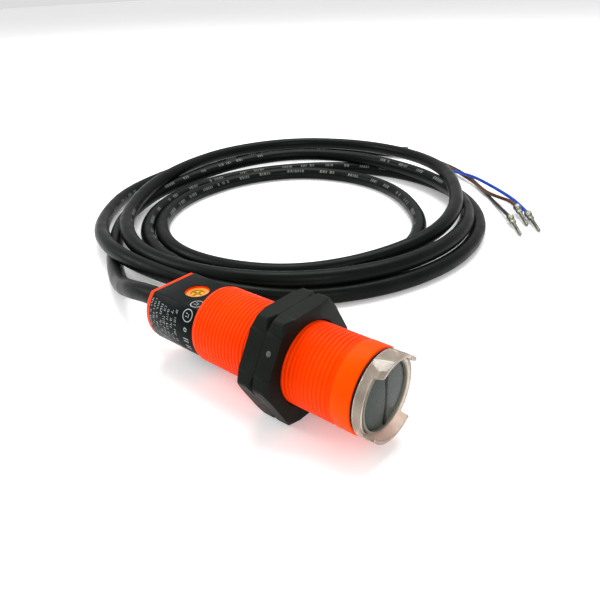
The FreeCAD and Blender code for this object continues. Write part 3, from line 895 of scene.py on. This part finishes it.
def make_gland():
    """The cable's rubber sleeve: ribs that shrink along the taper."""
    low, high = corners("cable_gland")
    start = low.x + 0.02
    end = high.x
    neck = REAR_END - 0.2
    inner = CABLE_DIAMETER / 2 + 0.02
    profile = [(end, inner), (end, 3.15), (end - 0.1, 3.25), (neck, 3.25), (neck - 0.05, 3.5),
               (neck - 0.9, 3.5)]
    ribs = 5
    step = (neck - 1.2 - start) / ribs
    for k in range(ribs):
        x = neck - 1.0 - k * step
        outer = 3.42 - 0.42 * k / ribs
        profile += [(x - 0.05, outer - 0.3), (x - 0.3 * step, outer - 0.3), (x - 0.4 * step, outer - 0.05),
                    (x - 0.9 * step, outer - 0.1)]
    profile += [(start, 2.8), (start, inner)]
    piece = lathe("gland_sleeve", lambda a: profile, RUBBER)
    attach(piece, SENSOR)
    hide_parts("cable_gland")
    return piece


# A ferrule's outline: distance from the wire's end, radius, and how flat it is pressed.
FERRULE_LENGTH = 14.0
FERRULE_PROFILE = [
    (0.0, 0.7, 1), (0.0, 1.05, 1), (0.15, 1.3, 1), (0.6, 1.36, 1), (1.5, 1.3, 0.95), (2.0, 1.1, 0.9),
    (2.25, 0.85, 0.9), (2.6, 0.82, 0.9), (2.8, 1.15, 0.8), (3.1, 1.2, 0.78), (4.3, 1.2, 0.78),
    (4.6, 1.1, 0.8), (4.9, 0.8, 0.9), (5.4, 0.72, 1), (5.7, 0.7, 1), (8.0, 0.64, 1), (12.9, 0.62, 1),
    (13.5, 0.52, 1), (13.85, 0.32, 1), (13.95, 0.08, 1),
]


def make_ferrule(colour, route):
    """A crimped contact: a flared mouth, two crimped bands with a waist between, then a long pin."""
    end = Vector(route[-1])
    before = Vector(route[-2])
    level = Vector((end.x - before.x, end.y - before.y, 0)).normalized()
    drop = end.z - WIRE_REST
    along = (level * math.sqrt(FERRULE_LENGTH ** 2 - drop ** 2) - Vector((0, 0, drop))).normalized()
    side = along.cross(Vector((0, 0, 1))).normalized()
    up = side.cross(along)
    count = 40
    points = []
    for x, radius, pressed in FERRULE_PROFILE:
        crimped = 2.7 < x < 4.7 or 0.3 < x < 1.9
        for k in range(count):
            angle = math.tau * k / count
            notch = 1 - 0.22 * math.exp(-((angle - math.pi / 2) / 0.32) ** 2) * crimped
            points.append(end + along * x + side * (radius * notch * math.cos(angle))
                          + up * (radius * notch * pressed * math.sin(angle)))
    faces = grid_faces(len(FERRULE_PROFILE), count, False, True)
    piece = sharpen(add_mesh(f"{colour}_contact", points, faces, TINNED), 45)
    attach(piece, SENSOR)
    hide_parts(f"{colour}_ferrule")
    return piece


PRINT_START = 130.0   # along the cable, from the gland
PRINT_STOP = 40.0     # before its far end
PRINT_TOP = 8.6       # no marks on a stretch higher than this


def print_places(line):
    """A function that finds a place on the cable's surface, and the cable's length."""
    radius = CABLE_DIAMETER / 2 + 0.012
    reach = [0.0]
    for a, b in zip(line, line[1:]):
        reach.append(reach[-1] + (b - a).length)

    def place(distance, angle):
        k = bisect.bisect_left(reach, distance) - 1
        share = (distance - reach[k]) / (reach[k + 1] - reach[k])
        middle = line[k].lerp(line[k + 1], share)
        along = (line[min(k + 3, len(line) - 1)] - line[max(k - 2, 0)]).normalized()
        outward = Vector((along.y, -along.x, 0)).normalized()
        up = outward.cross(along)
        if up.z < 0:
            up = -up
        return middle + outward * radius * math.cos(angle) + up * radius * math.sin(angle)

    return place, reach[-1]


def make_cable_marks(line):
    """Generic dashes printed along one side of the cable, left out where it lies high."""
    chance = random.Random(11)
    place, length = print_places(line)
    around = (-0.24, -0.08, 0.08, 0.24)
    steps = 4
    points = []
    faces = []
    distance = PRINT_START
    while distance < length - PRINT_STOP:
        twist = math.radians(34 + 16 * math.sin(distance / 150.0))
        for _ in range(chance.randint(3, 7)):
            size = 0.3 + 0.7 * chance.random()
            shown = chance.random() < 0.85
            if shown and place(distance, twist).z < PRINT_TOP:
                base = len(points)
                points += [place(distance + size * i / steps, twist + side)
                           for i in range(steps + 1) for side in around]
                grid = grid_faces(steps + 1, len(around), False, False)
                faces += [tuple(base + v for v in face) for face in grid]
            distance += size + 0.45
        distance += 2.0 + 6.0 * chance.random()
    piece = add_mesh("cable_marks", points, faces, GREY_PRINT)
    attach(piece, SENSOR)
    return piece


make_adjuster()
gland = make_gland()
ferrules = {colour: make_ferrule(colour, route) for colour, route in WIRE_ROUTES.items()}
cable_marks = make_cable_marks(cable_line)

sheath_end = Vector(TAIL_ROUTE[-1]) * MM


# ------------------------------------------------------- finishes of the CAD parts

FINISH = {
    "front_seal": RUBBER, "rear_cap": BLACK, "crimp_ring": TINNED, "optics_holder": BLACK,
    "emitter_lamp": AMBER, "receiver_diode": CHIP, "front_board": BOARD, "main_board": BOARD,
    "amplifier_chip": CHIP, "output_transistor": CHIP, "capacitors": TINNED, "indicator_lamp": AMBER,
    "trimmer": NUT, "light_guide": AMBER, "core_wires": WIRE["brown"],
}
for name, material in FINISH.items():
    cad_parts[name].data.materials.clear()
    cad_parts[name].data.materials.append(material)
